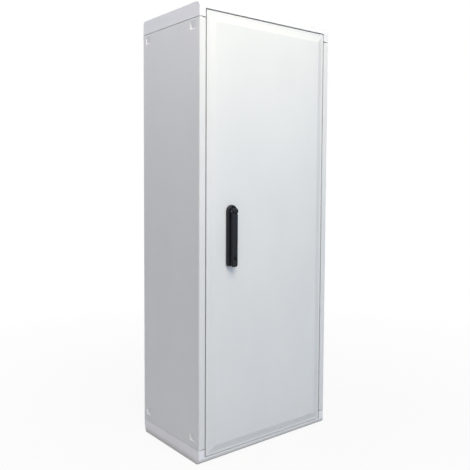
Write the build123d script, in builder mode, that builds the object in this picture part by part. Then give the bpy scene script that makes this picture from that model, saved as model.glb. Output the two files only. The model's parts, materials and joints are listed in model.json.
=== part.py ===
from build123d import *
import os
from math import acos, cos, pi, radians, sin, tan

# Free-standing outdoor electrical cabinet, moulded in glass-filled polyester.
# Millimetres, Z up, the door faces -Y and hangs on its right edge.

# Overall size
cabinet_width = 550.0
cabinet_depth = 330.0
cabinet_height = 1400.0

# Moulding
wall = 4.0
corner_radius = 4.0
lap_gap = 0.3
overrun = 6.0
quarter_turn = 90

# Roof and base caps
roof_skirt = 44.0
base_skirt = 44.0
shadow_gap = 1.5
roof_round_in = 16.0
roof_round_down = 20.0
front_round_in = 12.0
front_round_up = 17.5
rear_chamfer_in = 11.0
rear_chamfer_up = 34.0
rear_ledge = 2.0
floor_thickness = 5.0
anchor_hole_radius = 6.5
anchor_side_inset = 40.0
anchor_end_inset = 40.0
cable_opening_side = 85.0
cable_opening_front = 70.0
cable_opening_rear = 50.0

# Front frame
post_width = 22.0
door_gap = 4.0
rim_height = 18.0
sill_height = 18.5
sill_gap = 1.5
hinge_gap = 3.2
hinge_return = 12.0
foot_gap = 0.8
joint_relief_width = 12.0
joint_relief_height = 2.0
flange_setback = 24.0
seal_lip_depth = 12.0
seal_lip_width = 3.0
rear_return = 28.0

# Corner recesses of the side walls, steep on two sides and ramped on the others
recess_width = 30.0
recess_height = 25.0
recess_depth = 2.6
recess_slope = 4.0
recess_floor = 3.0
recess_edge = 19.5
recess_low = 21.0
recess_high = 6.5

# Rear wall
rear_wall_side_gap = 5.0
rear_field_margin = 40.0
rear_field_depth = 1.5

# Splice plates
splice_thickness = 3.0
splice_width = 30.0
splice_height = 40.0
splice_row_inset = 70.0
splice_screw_inset = 9.0
splice_corner = 2.0

# Floor plates
floor_plate_thickness = 2.0
floor_plate_lap = 12.0
floor_plate_seam = 1.0

# Mounting plate
plate_thickness = 2.0
plate_side_gap = 60.0
plate_end_gap = 46.0
plate_corner = 6.0
standoff_length = 25.0
standoff_radius = 8.0
standoff_inset = 30.0

# Door
door_border = 9.0
door_bevel = 22.0
door_crown = 7.0
door_return = 16.0
door_edge_round = 2.0
crown_round = 14.0
seal_inset = 20.5
seal_seat_width = 14.0
seal_seat_height = 5.0
gasket_width = 12.0
gasket_gap = 0.3
door_rib = 3.0
door_rib_depth = 4.0
door_rib_shares = (0.20, 0.38, 0.66, 0.83)

# Corner pivots of the door
pivot_inset = 5.5
pivot_boss = 13.0
pivot_boss_height = 20.0
pivot_boss_depth = 12.0
pivot_pin_radius = 3.0
pivot_pin_grip = 7.0
sill_pin_grip = 8.0
pivot_bush_radius = 4.2
pivot_bush_length = 14.0
pivot_pin_end = 1.0
running_gap = 0.05
washer_radius = 5.0

# Swing handle
handle_inset = 114.0
hub_share = 0.5557
escutcheon_width = 38.0
escutcheon_length = 190.0
escutcheon_height = 10.0
escutcheon_round = 3.5
escutcheon_corner = 9.0
escutcheon_seal_inset = 2.0
escutcheon_gasket = 1.5
escutcheon_step = 4.0
hub_radius = 14.0
hub_proud = 0.6
shank_radius = 9.0
shank_tail = 2.0
knuckle_radius = 9.0
knuckle_width = 20.0
knuckle_gap = 0.5
tongue_width = 8.0
tongue_radius = 8.0
lever_width = 21.0
lever_thickness = 13.5
lever_lift_gap = 1.0
lever_shoulder = 7.0
lever_round = 3.5
lever_end_round = 7.0
lever_head_round = 5.0
lever_notch_depth = 3.0
lever_notch_height = 14.0
lever_overhang = 1.5
lever_pin_radius = 2.5
key_radius = 6.5
key_height = 27.0
key_depth = 11.0
key_proud = 0.4
keyway_width = 1.6
keyway_length = 8.0
keyway_depth = 4.0

# Spindle, pinion and rods
spindle_side = 9.0
spindle_fit = 0.03
spindle_screw_length = 12.5
rod_width = 14.0
rod_thickness = 5.0
rod_tip_gap = 2.0
rod_tip_chamfer = 2.5
gear_module = 2.0
tooth_count = 12
pressure_angle = 20.0
pinion_addendum = 1.4
rack_addendum = 1.3
tooth_bottom_gap = 0.4
tooth_backlash = 0.3
flank_steps = 5
rack_spaces_ahead = 2
rack_spaces_behind = 5
rod_setback = 30.0

# Lock case
case_setback = 24.0
case_floor = 3.0
case_wall = 6.0
case_ear = 12.0
case_half_height = 24.0
case_lid_gap = 1.5
strap_thickness = 2.0
strap_half_height = 10.0
strap_head_height = 0.5
boss_radius = 6.0
boss_row = 17.0
spindle_clearance = 1.0
latch_thickness = 4.0
latch_setback = 40.0
latch_length = 80.0
latch_width = 16.0
latch_hub_radius = 11.0

# Rod guides
guide_height = 20.0
guide_wall = 4.0
guide_foot = 13.0
guide_foot_thickness = 4.0
guide_end_inset = 70.0

# Strikes
strike_thickness = 1.5
strike_wing = 11.0
strike_height = 24.0
left_strike_width = 20.0
left_strike_height = 28.0
left_strike_gap = 0.5
left_strike_corner = 2.0

# Screws
screw_radius = 2.0
screw_head_radius = 3.6
screw_head_height = 2.6
screw_hole_gap = 0.15
screw_bite = 2.4
stud_radius = 2.5
stud_head_radius = 5.0
stud_head_height = 3.5

# Places that follow from the sizes above
half_width = cabinet_width / 2
front = -cabinet_depth / 2
rear = cabinet_depth / 2
inner_half = half_width - wall
roof_low = cabinet_height - roof_skirt
wall_low = base_skirt + foot_gap
wall_high = roof_low - shadow_gap
post_inner = half_width - post_width
door_half = post_inner - door_gap
hinge_post_inner = door_half + hinge_gap
door_low = sill_height + sill_gap
door_high = cabinet_height - rim_height - door_gap
door_rear = front + door_return
field = front - door_crown
field_inner = field + wall
flange_front = front + flange_setback
flange_rear = flange_front + wall
lip_front = flange_front - seal_lip_depth
seal_half = door_half - seal_inset
opening_half = seal_half - seal_lip_width / 2
rear_inner = rear - wall
rear_wall_front = rear_inner - wall
rear_low = rear_chamfer_up + rear_ledge
rear_high = cabinet_height - roof_round_down - rear_ledge
pivot_x = door_half - pivot_inset
pivot_y = front + pivot_inset
handle_x = handle_inset - half_width
hub_z = cabinet_height * hub_share
dome_radius = escutcheon_width / 2
escutcheon_low = hub_z + dome_radius - escutcheon_length
escutcheon_front = field - escutcheon_height
lever_back = escutcheon_front - lever_lift_gap
lever_front = lever_back - lever_thickness
knuckle_y = lever_front + knuckle_radius
pedestal_half = (knuckle_radius**2 - (lever_back - knuckle_y) ** 2) ** 0.5
lever_high = hub_z - lever_shoulder
lever_low = escutcheon_low - lever_overhang
key_z = lever_low + key_height
pitch_radius = gear_module * tooth_count / 2
tooth_pitch = pi * gear_module
rod_front = front + rod_setback
rod_rear = rod_front + rod_thickness
rack_edge = pitch_radius - rack_addendum
rod_edge = rack_edge + rod_width
rack_root = pitch_radius + pinion_addendum + tooth_bottom_gap
case_front = front + case_setback
case_inner = case_front + case_floor
case_rim = rod_rear + case_lid_gap
case_side = rod_edge + lap_gap
case_half = case_side + case_wall + case_ear
latch_front = front + latch_setback
latch_rear = latch_front + latch_thickness
upper_rod_tip = roof_low - rod_tip_gap
lower_rod_tip = base_skirt + rod_tip_gap
rod_middle = (rack_edge + rod_edge) / 2
plate_rear = rear_wall_front - standoff_length
plate_front = plate_rear - plate_thickness
plate_width = cabinet_width - plate_side_gap - plate_side_gap
cable_opening_width = cabinet_width - cable_opening_side - cable_opening_side
cable_opening_depth = cabinet_depth - cable_opening_front - cable_opening_rear
cable_opening_offset = (cable_opening_front - cable_opening_rear) / 2
hole_radius = screw_radius + screw_hole_gap
stud_hole_radius = stud_radius + screw_hole_gap

os.makedirs("parts", exist_ok=True)


def facing(y):
    """Sketch plane across the cabinet at depth y: X to the right, Z up, normal to the front."""
    return Plane.XZ.offset(-y)


def span(x0, x1, y0, y1, mode=Mode.ADD):
    """Rectangle of the open sketch between two corners."""
    with Locations(((x0 + x1) / 2, (y0 + y1) / 2)):
        Rectangle(x1 - x0, y1 - y0, mode=mode)


def flank(side, inner, outer, y0, y1):
    """Rectangle of a plan sketch on the left (-1) or right (1) side of the cabinet."""
    span(min(side * inner, side * outer), max(side * inner, side * outer), y0, y1)


def door_outline(inset):
    """Rectangle of the open sketch set in from the door's edge."""
    span(inset - door_half, door_half - inset, door_low + inset, door_high - inset)


def bore(spots, y, depth, radius):
    """Holes cut from depth y towards the front."""
    with BuildSketch(facing(y)) as shape:
        with Locations(*spots):
            Circle(radius)
    extrude(shape.sketch, amount=depth, mode=Mode.SUBTRACT)


def bore_rearward(spots, y, depth, radius):
    """Holes cut from depth y towards the rear."""
    bore(spots, y, -depth, radius)


def screws(spots, y, length, radius, head_radius, head_height, heads=-1):
    """Screws with their heads behind depth y (heads -1) or in front of it (heads 1)."""
    with BuildSketch(facing(y)) as shape:
        with Locations(*spots):
            Circle(head_radius)
    extrude(shape.sketch, amount=heads * head_height)
    with BuildSketch(facing(y)) as shape:
        with Locations(*spots):
            Circle(radius)
    extrude(shape.sketch, amount=-heads * length)


def square_hole(y, depth):
    """Square drive hole of the handle's axis, cut from depth y towards the rear."""
    with BuildSketch(facing(y)) as shape:
        with Locations((handle_x, hub_z)):
            Rectangle(spindle_side + spindle_fit, spindle_side + spindle_fit)
    extrude(shape.sketch, amount=-depth, mode=Mode.SUBTRACT)


# Screw places shared by the pieces that they hold together
splice_rows = (front + splice_row_inset, rear - splice_row_inset)
splice_ends = (splice_screw_inset - splice_height / 2, splice_height / 2 - splice_screw_inset)
roof_joint = roof_low - shadow_gap / 2
splice_joints = (base_skirt, roof_joint)
case_spots = [
    (handle_x + i * (case_half - case_ear / 2), hub_z + j * boss_row) for i in (-1, 1) for j in (-1, 1)
]
strap_spots = [(handle_x + i * (case_side + case_wall / 2), hub_z) for i in (-1, 1)]
stud_spots = [
    (handle_x, hub_z - case_half_height - escutcheon_width / 2),
    (handle_x, escutcheon_low + escutcheon_width / 2),
]
rod_centres = (handle_x + rod_middle, handle_x - rod_middle)
guide_spots_z = (upper_rod_tip - guide_end_inset, lower_rod_tip + guide_end_inset)
guide_half = rod_width / 2 + lap_gap + guide_wall
guide_spots = [
    (rod_centres[k] + i * (guide_half + guide_foot / 2), guide_spots_z[k]) for k in (0, 1) for i in (-1, 1)
]
strike_centres_z = (roof_low + strike_height / 2, base_skirt - strike_height / 2)
strike_half = rod_width / 2 + strike_wing
strike_spots = [
    (rod_centres[k] + i * (strike_half - strike_wing / 2), strike_centres_z[k])
    for k in (0, 1)
    for i in (-1, 1)
]
left_strike_x = -opening_half - left_strike_width / 2
left_strike_rear = latch_front - left_strike_gap
left_strike_spots = [(left_strike_x, hub_z + j * left_strike_height / 4) for j in (-1, 1)]
standoff_x = plate_width / 2 - standoff_inset
plate_low = base_skirt + plate_end_gap
plate_high = roof_low - plate_end_gap
standoff_rows = (plate_low + standoff_inset, (plate_low + plate_high) / 2, plate_high - standoff_inset)
standoff_spots = [(i * standoff_x, z) for i in (-1, 1) for z in standoff_rows]
rear_screw_x = half_width - rear_return + (rear_return - wall - rear_wall_side_gap) / 2
rear_screw_rows = (base_skirt + standoff_inset, (base_skirt + wall_high) / 2, wall_high - standoff_inset)
rear_spots = [(i * rear_screw_x, z) for i in (-1, 1) for z in rear_screw_rows]
anchor_x = half_width - anchor_side_inset
anchor_y = rear - anchor_end_inset
floor_half_x = cable_opening_width / 2 + floor_plate_lap
floor_half_y = cable_opening_depth / 2 + floor_plate_lap
floor_spots = [
    (i * (floor_half_x - floor_plate_lap / 2), cable_opening_offset + j * floor_half_y / 2)
    for i in (-1, 1)
    for j in (-1, 1)
]


def splice_holes(side, joint_z, direction):
    """Blind screw holes in the inner face of a side at one joint, above (1) or below (-1) it."""
    rise = splice_ends[1] * direction
    with BuildSketch(Plane.YZ.offset(side * inner_half)) as shape:
        with Locations(*[(y, joint_z + rise) for y in splice_rows]):
            Circle(hole_radius)
    extrude(shape.sketch, amount=side * (screw_bite + screw_hole_gap), mode=Mode.SUBTRACT)


def recess(side, y, z):
    """Corner recess, steep at the rear and below, ramped out gently to the front and above."""
    with BuildSketch(Plane.YZ.offset(side * half_width)) as mouth:
        span(y - recess_width, y, z, z + recess_height)
    with BuildSketch(Plane.YZ.offset(side * (half_width - recess_depth))) as floor:
        with Locations((y - recess_slope - recess_floor / 2, z + recess_slope + recess_floor / 2)):
            Rectangle(recess_floor, recess_floor)
    loft([mouth.sketch.face(), floor.sketch.face()], ruled=True, mode=Mode.SUBTRACT)


def side_moulding(side):
    """Side wall with its front post, seal flange, seal lip, rear return and corner recesses."""
    post = hinge_post_inner if side > 0 else post_inner
    with BuildSketch(Plane.XY.offset(wall_low)) as shape:
        flank(side, inner_half, half_width, front, rear)
        flank(side, post, half_width, front, front + wall)
        flank(side, opening_half, inner_half, flange_front, flange_rear)
        flank(side, opening_half, opening_half + seal_lip_width, lip_front, flange_front)
        flank(side, half_width - rear_return, half_width, rear_inner, rear)
    extrude(shape.sketch, amount=wall_high - wall_low)
    outer = -1 if side > 0 else 0
    fillet(edges().filter_by(Axis.Z).group_by(Axis.X)[outer], radius=corner_radius)
    for z in (wall_low, wall_high - joint_relief_height):
        with BuildSketch(Plane.XY.offset(z)) as shape:
            flank(side, post, post + joint_relief_width, front, front + wall)
        extrude(shape.sketch, amount=joint_relief_height, mode=Mode.SUBTRACT)
    for y in (front + recess_edge + recess_width, rear - recess_edge):
        for z in (wall_low + recess_low, wall_high - recess_high - recess_height):
            recess(side, y, z)
    splice_holes(side, base_skirt, 1)
    splice_holes(side, roof_joint, -1)
    bore([s for s in rear_spots if s[0] * side > 0], rear, wall, hole_radius)


with BuildPart() as left_side_wall:
    side_moulding(-1)
    bore_rearward(left_strike_spots, flange_rear - screw_bite, screw_bite, hole_radius)

with BuildPart() as right_side_wall:
    side_moulding(1)
    with BuildSketch(Plane.XY.offset(wall_low)):
        span(hinge_post_inner, hinge_post_inner + wall, front + wall, front + hinge_return)
    extrude(amount=wall_high - wall_low)

# Roof cap: a plan prism met by an end profile with rounded front and rear edges
with BuildPart() as roof:
    with BuildSketch(Plane.XY.offset(roof_low)):
        RectangleRounded(cabinet_width, cabinet_depth, corner_radius)
    extrude(amount=roof_skirt)
    with BuildSketch(Plane.YZ.offset(-half_width)):
        with BuildLine():
            Polyline(
                (front, cabinet_height - roof_round_down),
                (front, roof_low),
                (rear, roof_low),
                (rear, cabinet_height - roof_round_down),
            )
            EllipticalCenterArc(
                (rear - roof_round_in, cabinet_height - roof_round_down),
                roof_round_in, roof_round_down, start_angle=0, arc_size=quarter_turn,
            )
            Line((rear - roof_round_in, cabinet_height), (front + roof_round_in, cabinet_height))
            EllipticalCenterArc(
                (front + roof_round_in, cabinet_height - roof_round_down),
                roof_round_in, roof_round_down, start_angle=quarter_turn, arc_size=quarter_turn,
            )
        make_face()
    extrude(amount=cabinet_width, mode=Mode.INTERSECT)
    with BuildSketch(Plane.XY.offset(roof_low)):
        span(-post_inner, hinge_post_inner, front - overrun, flange_front)
    extrude(amount=cabinet_height - rim_height - roof_low, mode=Mode.SUBTRACT)
    with BuildSketch(Plane.XY.offset(roof_low)):
        span(-inner_half, inner_half, flange_rear, rear_inner)
    extrude(amount=rear_high - roof_low, mode=Mode.SUBTRACT)
    with BuildSketch(Plane.XY.offset(roof_low)):
        span(-inner_half, inner_half, flange_rear, rear - roof_round_in)
    extrude(amount=roof_skirt - wall, mode=Mode.SUBTRACT)
    with BuildSketch(Plane.XY.offset(roof_low)):
        span(-seal_half - seal_lip_width / 2, seal_half + seal_lip_width / 2, lip_front, flange_front)
    extrude(amount=seal_lip_width)
    with BuildSketch(Plane.XY.offset(cabinet_height - rim_height)):
        with Locations((pivot_x, pivot_y)):
            Circle(pivot_pin_radius)
    extrude(amount=pivot_pin_grip, mode=Mode.SUBTRACT)
    splice_holes(-1, roof_joint, 1)
    splice_holes(1, roof_joint, 1)
    bore_rearward([strike_spots[0], strike_spots[1]], flange_rear - screw_bite, screw_bite, hole_radius)

# Base cap: the same construction with a chamfered foot, a floor and a cable opening
with BuildPart() as base:
    with BuildSketch(Plane.XY):
        RectangleRounded(cabinet_width, cabinet_depth, corner_radius)
    extrude(amount=base_skirt)
    with BuildSketch(Plane.YZ.offset(-half_width)):
        with BuildLine():
            Polyline(
                (front + front_round_in, 0),
                (rear - rear_chamfer_in, 0),
                (rear, rear_chamfer_up),
                (rear, base_skirt),
                (front, base_skirt),
                (front, front_round_up),
            )
            EllipticalCenterArc(
                (front + front_round_in, front_round_up), front_round_in, front_round_up,
                start_angle=quarter_turn + quarter_turn, arc_size=quarter_turn,
            )
        make_face()
    extrude(amount=cabinet_width, mode=Mode.INTERSECT)
    with BuildSketch(Plane.XY.offset(sill_height)):
        span(-post_inner, hinge_post_inner, front - overrun, flange_front)
    extrude(amount=base_skirt - sill_height, mode=Mode.SUBTRACT)
    with BuildSketch(Plane.XY.offset(rear_low)):
        span(-inner_half, inner_half, flange_rear, rear_inner)
    extrude(amount=base_skirt - rear_low, mode=Mode.SUBTRACT)
    with BuildSketch(Plane.XY.offset(floor_thickness)):
        span(-inner_half, inner_half, flange_rear, rear_inner - rear_chamfer_in)
    extrude(amount=base_skirt - floor_thickness, mode=Mode.SUBTRACT)
    with BuildSketch(Plane.XY.offset(base_skirt - seal_lip_width)):
        span(-seal_half - seal_lip_width / 2, seal_half + seal_lip_width / 2, lip_front, flange_front)
    extrude(amount=seal_lip_width)
    with BuildSketch(Plane.XY):
        with Locations((0, cable_opening_offset)):
            RectangleRounded(cable_opening_width, cable_opening_depth, floor_plate_lap)
        with Locations(*[(i * anchor_x, j * anchor_y) for i in (-1, 1) for j in (-1, 1)]):
            Circle(anchor_hole_radius)
    extrude(amount=floor_thickness, mode=Mode.SUBTRACT)
    with BuildSketch(Plane.XY.offset(floor_thickness - screw_bite)):
        with Locations(*floor_spots):
            Circle(hole_radius)
    extrude(amount=screw_bite, mode=Mode.SUBTRACT)
    with BuildSketch(Plane.XY.offset(sill_height)):
        with Locations((pivot_x, pivot_y)):
            Circle(pivot_pin_radius)
    extrude(amount=-sill_pin_grip, mode=Mode.SUBTRACT)
    splice_holes(-1, base_skirt, -1)
    splice_holes(1, base_skirt, -1)
    bore_rearward([strike_spots[2], strike_spots[3]], flange_rear - screw_bite, screw_bite, hole_radius)

# Rear wall with a shallow pressed field, held inside the rear returns
with BuildPart() as rear_wall:
    reach = inner_half - rear_wall_side_gap
    with BuildSketch(facing(rear_wall_front)):
        span(-reach, reach, rear_low, rear_high)
    extrude(amount=-wall)
    with BuildSketch(facing(rear_inner)):
        span(
            rear_field_margin - reach, reach - rear_field_margin,
            rear_low + rear_field_margin, rear_high - rear_field_margin,
        )
    extrude(amount=rear_field_depth, mode=Mode.SUBTRACT)
    bore(rear_spots, rear_inner, screw_bite, hole_radius)
    bore_rearward(standoff_spots, rear_wall_front, wall - rear_field_depth - lap_gap, hole_radius)

with BuildPart() as rear_screws:
    screws(rear_spots, rear, wall + screw_bite - lap_gap, screw_radius, screw_head_radius, screw_head_height)

# Splice plates on the inner faces, across the joints of the walls with the caps
splice_centres = [(s, y, z) for s in (-1, 1) for y in splice_rows for z in splice_joints]
with BuildPart() as splice_plates:
    for s, y, z in splice_centres:
        with BuildSketch(Plane.YZ.offset(s * inner_half)):
            with Locations((y, z)):
                RectangleRounded(splice_width, splice_height, splice_corner)
            with Locations(*[(y, z + end) for end in splice_ends]):
                Circle(hole_radius, mode=Mode.SUBTRACT)
        extrude(amount=-s * splice_thickness)

with BuildPart() as splice_screws:
    for s, y, z in splice_centres:
        spots = [(y, z + end) for end in splice_ends]
        with BuildSketch(Plane.YZ.offset(s * (inner_half - splice_thickness))):
            with Locations(*spots):
                Circle(screw_head_radius)
        extrude(amount=-s * screw_head_height)
        with BuildSketch(Plane.YZ.offset(s * (inner_half - splice_thickness))):
            with Locations(*spots):
                Circle(screw_radius)
        extrude(amount=s * (splice_thickness + screw_bite))


def floor_plate(y0, y1, spots):
    """Half of the cover over the cable opening, lying on the base's floor."""
    with BuildSketch(Plane.XY.offset(floor_thickness)) as shape:
        span(-floor_half_x, floor_half_x, y0, y1)
        with Locations(*spots):
            Circle(hole_radius, mode=Mode.SUBTRACT)
    extrude(shape.sketch, amount=floor_plate_thickness)


with BuildPart() as floor_plate_front:
    floor_plate(
        cable_opening_offset - floor_half_y, cable_opening_offset - floor_plate_seam / 2,
        [s for s in floor_spots if s[1] < cable_opening_offset],
    )

with BuildPart() as floor_plate_rear:
    floor_plate(
        cable_opening_offset + floor_plate_seam / 2, cable_opening_offset + floor_half_y,
        [s for s in floor_spots if s[1] > cable_opening_offset],
    )

with BuildPart() as floor_screws:
    with BuildSketch(Plane.XY.offset(floor_thickness + floor_plate_thickness)):
        with Locations(*floor_spots):
            Circle(screw_head_radius)
    extrude(amount=screw_head_height)
    with BuildSketch(Plane.XY.offset(floor_thickness + floor_plate_thickness)):
        with Locations(*floor_spots):
            Circle(screw_radius)
    extrude(amount=lap_gap - floor_plate_thickness - screw_bite)

# Mounting plate for the equipment, on standoffs in front of the rear wall
with BuildPart() as mounting_plate:
    with BuildSketch(facing(plate_front)):
        with Locations((0, (plate_low + plate_high) / 2)):
            RectangleRounded(plate_width, plate_high - plate_low, plate_corner)
    extrude(amount=-plate_thickness)
    bore_rearward(standoff_spots, plate_front, plate_thickness, stud_hole_radius)

with BuildPart() as plate_standoffs:
    with BuildSketch(facing(plate_rear)):
        with Locations(*standoff_spots):
            RegularPolygon(standoff_radius, 6)
    extrude(amount=-standoff_length)
    bore_rearward(standoff_spots, plate_rear, standoff_length / 2, stud_hole_radius)
    with BuildSketch(facing(rear_wall_front)):
        with Locations(*standoff_spots):
            Circle(screw_radius)
    extrude(amount=lap_gap + rear_field_depth + lap_gap - wall)

with BuildPart() as plate_screws:
    screws(
        standoff_spots, plate_front, plate_thickness + standoff_length / 2 - lap_gap,
        stud_radius, stud_head_radius, stud_head_height, heads=1,
    )

# Door panel: pan with a flat border, a mitred bevel and a proud field
bevel_angle_half = tan(acos(door_bevel / (door_bevel**2 + door_crown**2) ** 0.5) / 2)
bevel_shift = wall * bevel_angle_half

with BuildPart() as door_form:
    with BuildSketch(facing(door_rear)):
        door_outline(0)
    extrude(amount=door_return)
    fillet(edges().group_by(Axis.Y)[0], radius=door_edge_round)
    with BuildSketch(facing(front)):
        door_outline(door_border)
    with BuildSketch(facing(field)):
        door_outline(door_border + door_bevel)
    loft(ruled=True)
    fillet(edges().group_by(Axis.Y)[0], radius=crown_round)

with BuildPart() as door_ribs:
    with BuildSketch(facing(front + seal_seat_height)):
        door_outline(seal_inset - seal_seat_width / 2)
        span(
            seal_inset + seal_seat_width / 2 - door_half, door_half - seal_inset - seal_seat_width / 2,
            door_low + seal_inset + seal_seat_width / 2, door_high - seal_inset - seal_seat_width / 2,
            mode=Mode.SUBTRACT,
        )
    extrude(amount=seal_seat_height + door_crown)
    with BuildSketch(facing(front + pivot_boss_depth)):
        span(door_half - pivot_boss, door_half, door_high - pivot_boss_height, door_high)
        span(door_half - pivot_boss, door_half, door_low, door_low + pivot_boss_height)
    extrude(amount=pivot_boss_depth)
    with BuildSketch(facing(front + door_rib_depth)):
        for share in door_rib_shares:
            rib_z = door_low + share * (door_high - door_low)
            span(-seal_half, seal_half, rib_z - door_rib / 2, rib_z + door_rib / 2)
    extrude(amount=door_rib_depth + door_crown)
    add(door_form.part, mode=Mode.INTERSECT)

with BuildPart() as door_panel:
    add(door_form.part)
    with BuildSketch(facing(door_rear)):
        door_outline(wall)
    extrude(amount=door_return - wall, mode=Mode.SUBTRACT)
    with BuildSketch(facing(front + wall)):
        door_outline(door_border + bevel_shift)
    with BuildSketch(facing(field_inner)):
        door_outline(door_border + door_bevel + bevel_shift)
    loft(ruled=True, mode=Mode.SUBTRACT)
    add(door_ribs.part)
    with BuildSketch(facing(case_front)):
        with Locations(*case_spots):
            Circle(boss_radius)
    extrude(amount=case_front - field_inner)
    bore(case_spots, case_front, case_front - field_inner, hole_radius)
    bore([(handle_x, hub_z)], field_inner, wall, shank_radius + lap_gap)
    bore(stud_spots, field_inner, wall, stud_hole_radius)
    bore(guide_spots, field_inner, screw_bite, hole_radius)
    for z, direction in ((door_high, -1), (door_low, 1)):
        with BuildSketch(Plane.XY.offset(z)):
            with Locations((pivot_x, pivot_y)):
                Circle(pivot_bush_radius)
        extrude(amount=direction * pivot_bush_length, mode=Mode.SUBTRACT)

with BuildPart() as door_gasket:
    inner = seal_inset + gasket_width / 2
    with BuildSketch(facing(lip_front - gasket_gap)):
        door_outline(seal_inset - gasket_width / 2)
        span(inner - door_half, door_half - inner, door_low + inner, door_high - inner, mode=Mode.SUBTRACT)
    extrude(amount=lip_front - gasket_gap - front - seal_seat_height)


def pivot_pin(z0, z1):
    """Upright pin of a corner pivot between two heights."""
    with BuildSketch(Plane.XY.offset(z0)) as shape:
        with Locations((pivot_x, pivot_y)):
            Circle(pivot_pin_radius)
    extrude(shape.sketch, amount=z1 - z0)


def pivot_sleeve(z0, z1, radius):
    """Ring round a pivot pin between two heights."""
    with BuildSketch(Plane.XY.offset(z0)) as shape:
        with Locations((pivot_x, pivot_y)):
            Circle(radius)
            Circle(pivot_pin_radius + running_gap, mode=Mode.SUBTRACT)
    extrude(shape.sketch, amount=z1 - z0)


pin_reach = pivot_bush_length - pivot_pin_end
with BuildPart() as upper_pivot_pin:
    pivot_pin(door_high - pin_reach, cabinet_height - rim_height + pivot_pin_grip)

with BuildPart() as lower_pivot_pin:
    pivot_pin(sill_height - sill_pin_grip, door_low + pin_reach)

with BuildPart() as upper_pivot_bush:
    pivot_sleeve(door_high - pivot_bush_length, door_high, pivot_bush_radius)

with BuildPart() as lower_pivot_bush:
    pivot_sleeve(door_low, door_low + pivot_bush_length, pivot_bush_radius)

with BuildPart() as thrust_washer:
    pivot_sleeve(sill_height, door_low, washer_radius)


def escutcheon_outline(inset):
    """Plate with a domed top round the hub's axis and a squared foot."""
    with Locations((handle_x, hub_z)):
        Circle(dome_radius - inset)
    span(
        handle_x - dome_radius + inset, handle_x + dome_radius - inset,
        escutcheon_low + inset, hub_z,
    )


with BuildPart() as escutcheon_seal:
    with BuildSketch(facing(field)):
        escutcheon_outline(escutcheon_seal_inset)
        with Locations((handle_x, hub_z)):
            Circle(shank_radius + lap_gap, mode=Mode.SUBTRACT)
        with Locations(*stud_spots):
            Circle(stud_hole_radius, mode=Mode.SUBTRACT)
    extrude(amount=escutcheon_gasket)

with BuildPart() as escutcheon:
    with BuildSketch(facing(field - escutcheon_gasket)):
        escutcheon_outline(0)
        fillet(vertices().group_by(Axis.Y)[0], radius=escutcheon_corner)
    extrude(amount=escutcheon_height - escutcheon_gasket)
    fillet(edges().group_by(Axis.Y)[0], radius=escutcheon_round)
    bore([(handle_x, hub_z)], field, escutcheon_height, shank_radius + running_gap)
    bore(
        [(handle_x, hub_z)], field - escutcheon_step, escutcheon_height - escutcheon_step,
        hub_radius + running_gap,
    )
    bore(stud_spots, field, escutcheon_height - escutcheon_round, stud_hole_radius)

with BuildPart() as escutcheon_screws:
    screws(
        stud_spots, field_inner, wall + escutcheon_height - escutcheon_round - lap_gap,
        stud_radius, stud_head_radius, stud_head_height,
    )

# Hub of the swing handle: disc and shank in the escutcheon, forked knuckle in front
with BuildPart() as handle_hub:
    with BuildSketch(facing(field - escutcheon_step)):
        with Locations((handle_x, hub_z)):
            Circle(hub_radius)
    extrude(amount=escutcheon_height - escutcheon_step + hub_proud)
    with BuildSketch(facing(field - escutcheon_step)):
        with Locations((handle_x, hub_z)):
            Rectangle(knuckle_width, pedestal_half + pedestal_half)
    extrude(amount=field - escutcheon_step - knuckle_y)
    with BuildSketch(Plane.YZ.offset(handle_x - knuckle_width / 2)):
        with Locations((knuckle_y, hub_z)):
            Circle(knuckle_radius)
    extrude(amount=knuckle_width)
    with BuildSketch(facing(knuckle_y + tongue_radius + knuckle_gap)):
        with Locations((handle_x, hub_z)):
            Rectangle(tongue_width + lap_gap + lap_gap, hub_radius + hub_radius)
    extrude(amount=tongue_radius + knuckle_gap + knuckle_radius, mode=Mode.SUBTRACT)
    with BuildSketch(facing(field - escutcheon_step)):
        with Locations((handle_x, hub_z)):
            Circle(shank_radius)
    extrude(amount=-(escutcheon_step + wall + shank_tail))
    square_hole(field - escutcheon_step + spindle_fit, escutcheon_step + wall + shank_tail)
    with BuildSketch(Plane.YZ.offset(handle_x - knuckle_width / 2)):
        with Locations((knuckle_y, hub_z)):
            Circle(lever_pin_radius)
    extrude(amount=knuckle_width, mode=Mode.SUBTRACT)

with BuildPart() as lever_pin:
    with BuildSketch(Plane.YZ.offset(handle_x - knuckle_width / 2)):
        with Locations((knuckle_y, hub_z)):
            Circle(lever_pin_radius)
    extrude(amount=knuckle_width)

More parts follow.
